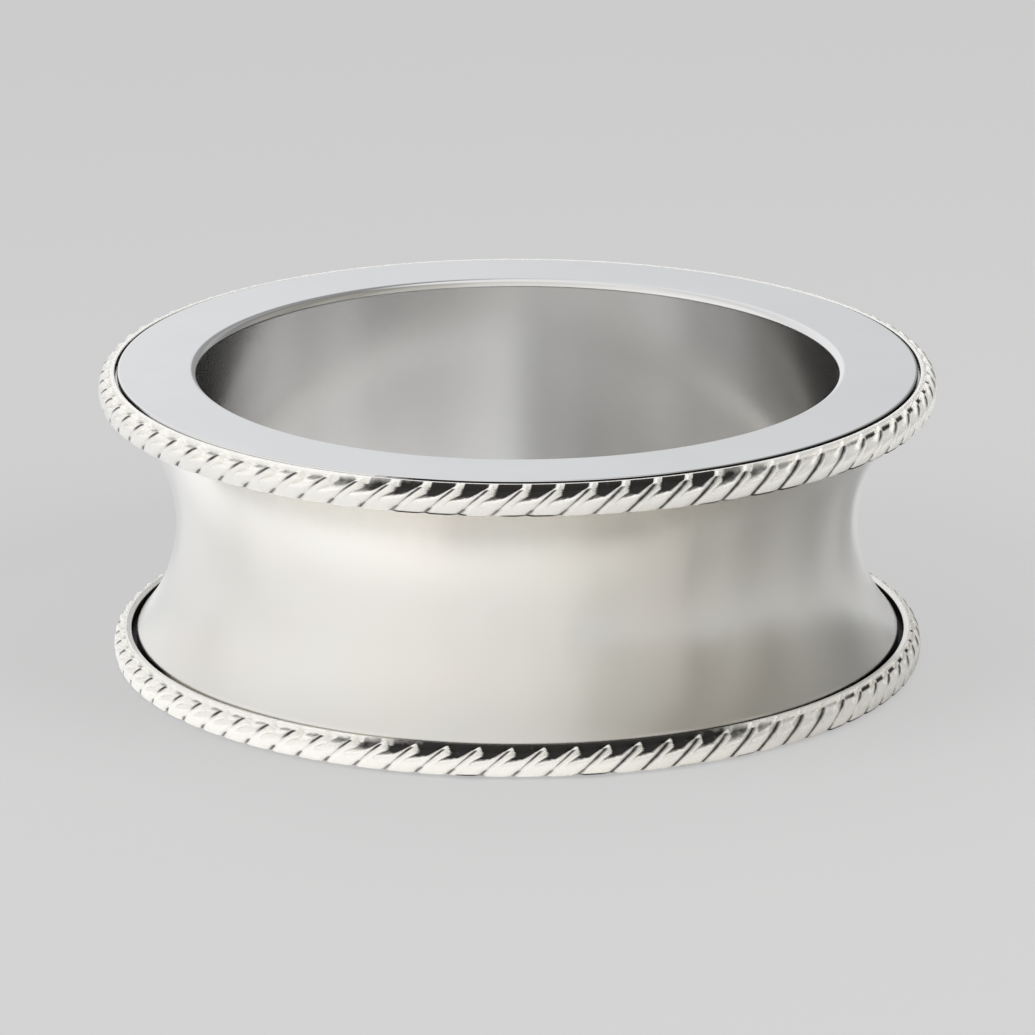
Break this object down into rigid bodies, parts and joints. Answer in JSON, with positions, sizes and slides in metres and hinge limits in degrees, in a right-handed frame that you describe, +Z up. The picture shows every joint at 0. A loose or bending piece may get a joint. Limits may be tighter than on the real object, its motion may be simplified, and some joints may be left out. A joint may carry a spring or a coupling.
{
  "type": "wine bottle coaster",
  "caption": "Deep round coaster with a waisted polished metal wall, a flat brim around a straight well, rope borders at rim and foot, and a felt base.",
  "frame": {"origin": "centre of the underside of the felt, on the table", "axes": "+Z up, along the axis of the well; X and Y are level and have no preferred side"},
  "size_m": [0.1396, 0.1396, 0.05],
  "materials": {
    "mirror_silver": "mirror polished silver plate",
    "wall_silver": "polished silver plate, softly uneven",
    "rope_silver": "polished silver plate, tarnished in the hollows",
    "plain_brass": "unplated",
    "plain_steel": "zinc plated",
    "base_wood": "turned hardwood, oiled",
    "base_felt": "wool felt"
  },
  "bodies": {
    "root": {"well_liner": "mirror_silver", "waist_wall": "wall_silver", "upper_rope_border": "rope_silver", "lower_rope_border": "rope_silver", "foot_ring": "plain_brass", "base_disc": "base_wood", "centre_stud": "plain_brass", "base_washer": "plain_steel", "base_nut": "plain_steel", "felt_pad": "base_felt"}
  },
  "joints": []
}
